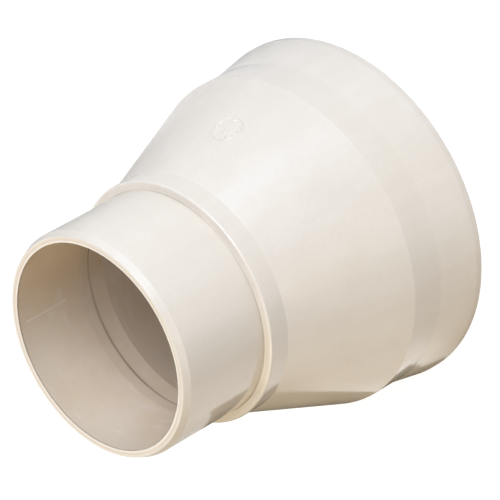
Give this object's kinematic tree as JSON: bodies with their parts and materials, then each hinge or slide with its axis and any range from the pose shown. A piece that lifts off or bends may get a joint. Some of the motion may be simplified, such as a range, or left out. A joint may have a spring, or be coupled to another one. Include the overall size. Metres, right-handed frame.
{
  "type": "duct reducer",
  "caption": "Round one-piece duct reducer: a wide flared socket for a pipe end, a cone, and a narrow spigot with a stop shoulder and a chamfered tip.",
  "frame": {"origin": "centre of the wide mouth's end face, which the piece stands on", "axes": "+Z along the duct's axis, from the wide mouth to the narrow tip; the piece is round, so X and Y are alike"},
  "size_m": [0.1772, 0.1772, 0.1694],
  "materials": {
    "moulded_pvc": "smooth moulded, warm ivory, low gloss"
  },
  "bodies": {
    "root": {"reducer": "moulded_pvc"}
  },
  "joints": []
}
